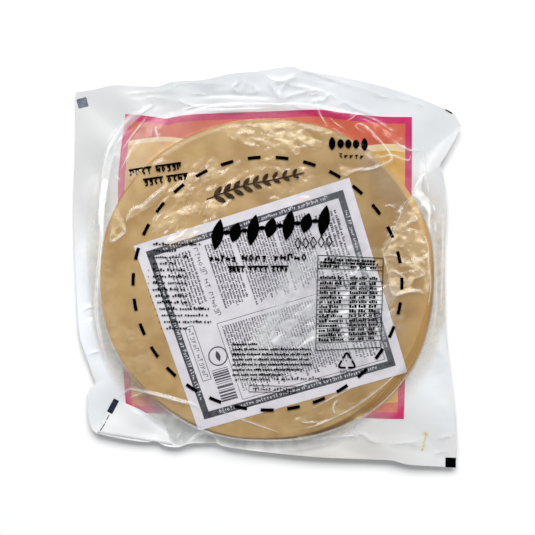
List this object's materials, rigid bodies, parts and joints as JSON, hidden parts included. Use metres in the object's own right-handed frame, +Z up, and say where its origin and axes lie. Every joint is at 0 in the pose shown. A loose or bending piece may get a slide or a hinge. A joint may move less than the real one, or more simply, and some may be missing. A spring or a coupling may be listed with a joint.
{
  "type": "sealed bag of plain papadums",
  "caption": "Flat clear bag with a round stack of thin lentil papadums and a printed paper leaflet, its welded edges loose and wavy.",
  "frame": {"origin": "middle of the bag's outline, on the surface that the bag lies on", "axes": "+Z up out of the printed front, +Y towards the top of the printed front, +X to the right of it"},
  "size_m": [0.2111, 0.2182, 0.011],
  "materials": {
    "filled_bag": "glossy",
    "clear_film": "clear, slightly milky",
    "white_film": "satin, opaque white",
    "papadum": "dry, with a faint grain",
    "leaflet_paper": "matt paper",
    "dark_print": "satin ink",
    "grey_print": "matt ink on paper",
    "pink_print": "satin ink",
    "orange_print": "satin ink",
    "yellow_print": "satin ink"
  },
  "bodies": {
    "root": {"sealed_bag": "filled_bag"}
  },
  "joints": []
}
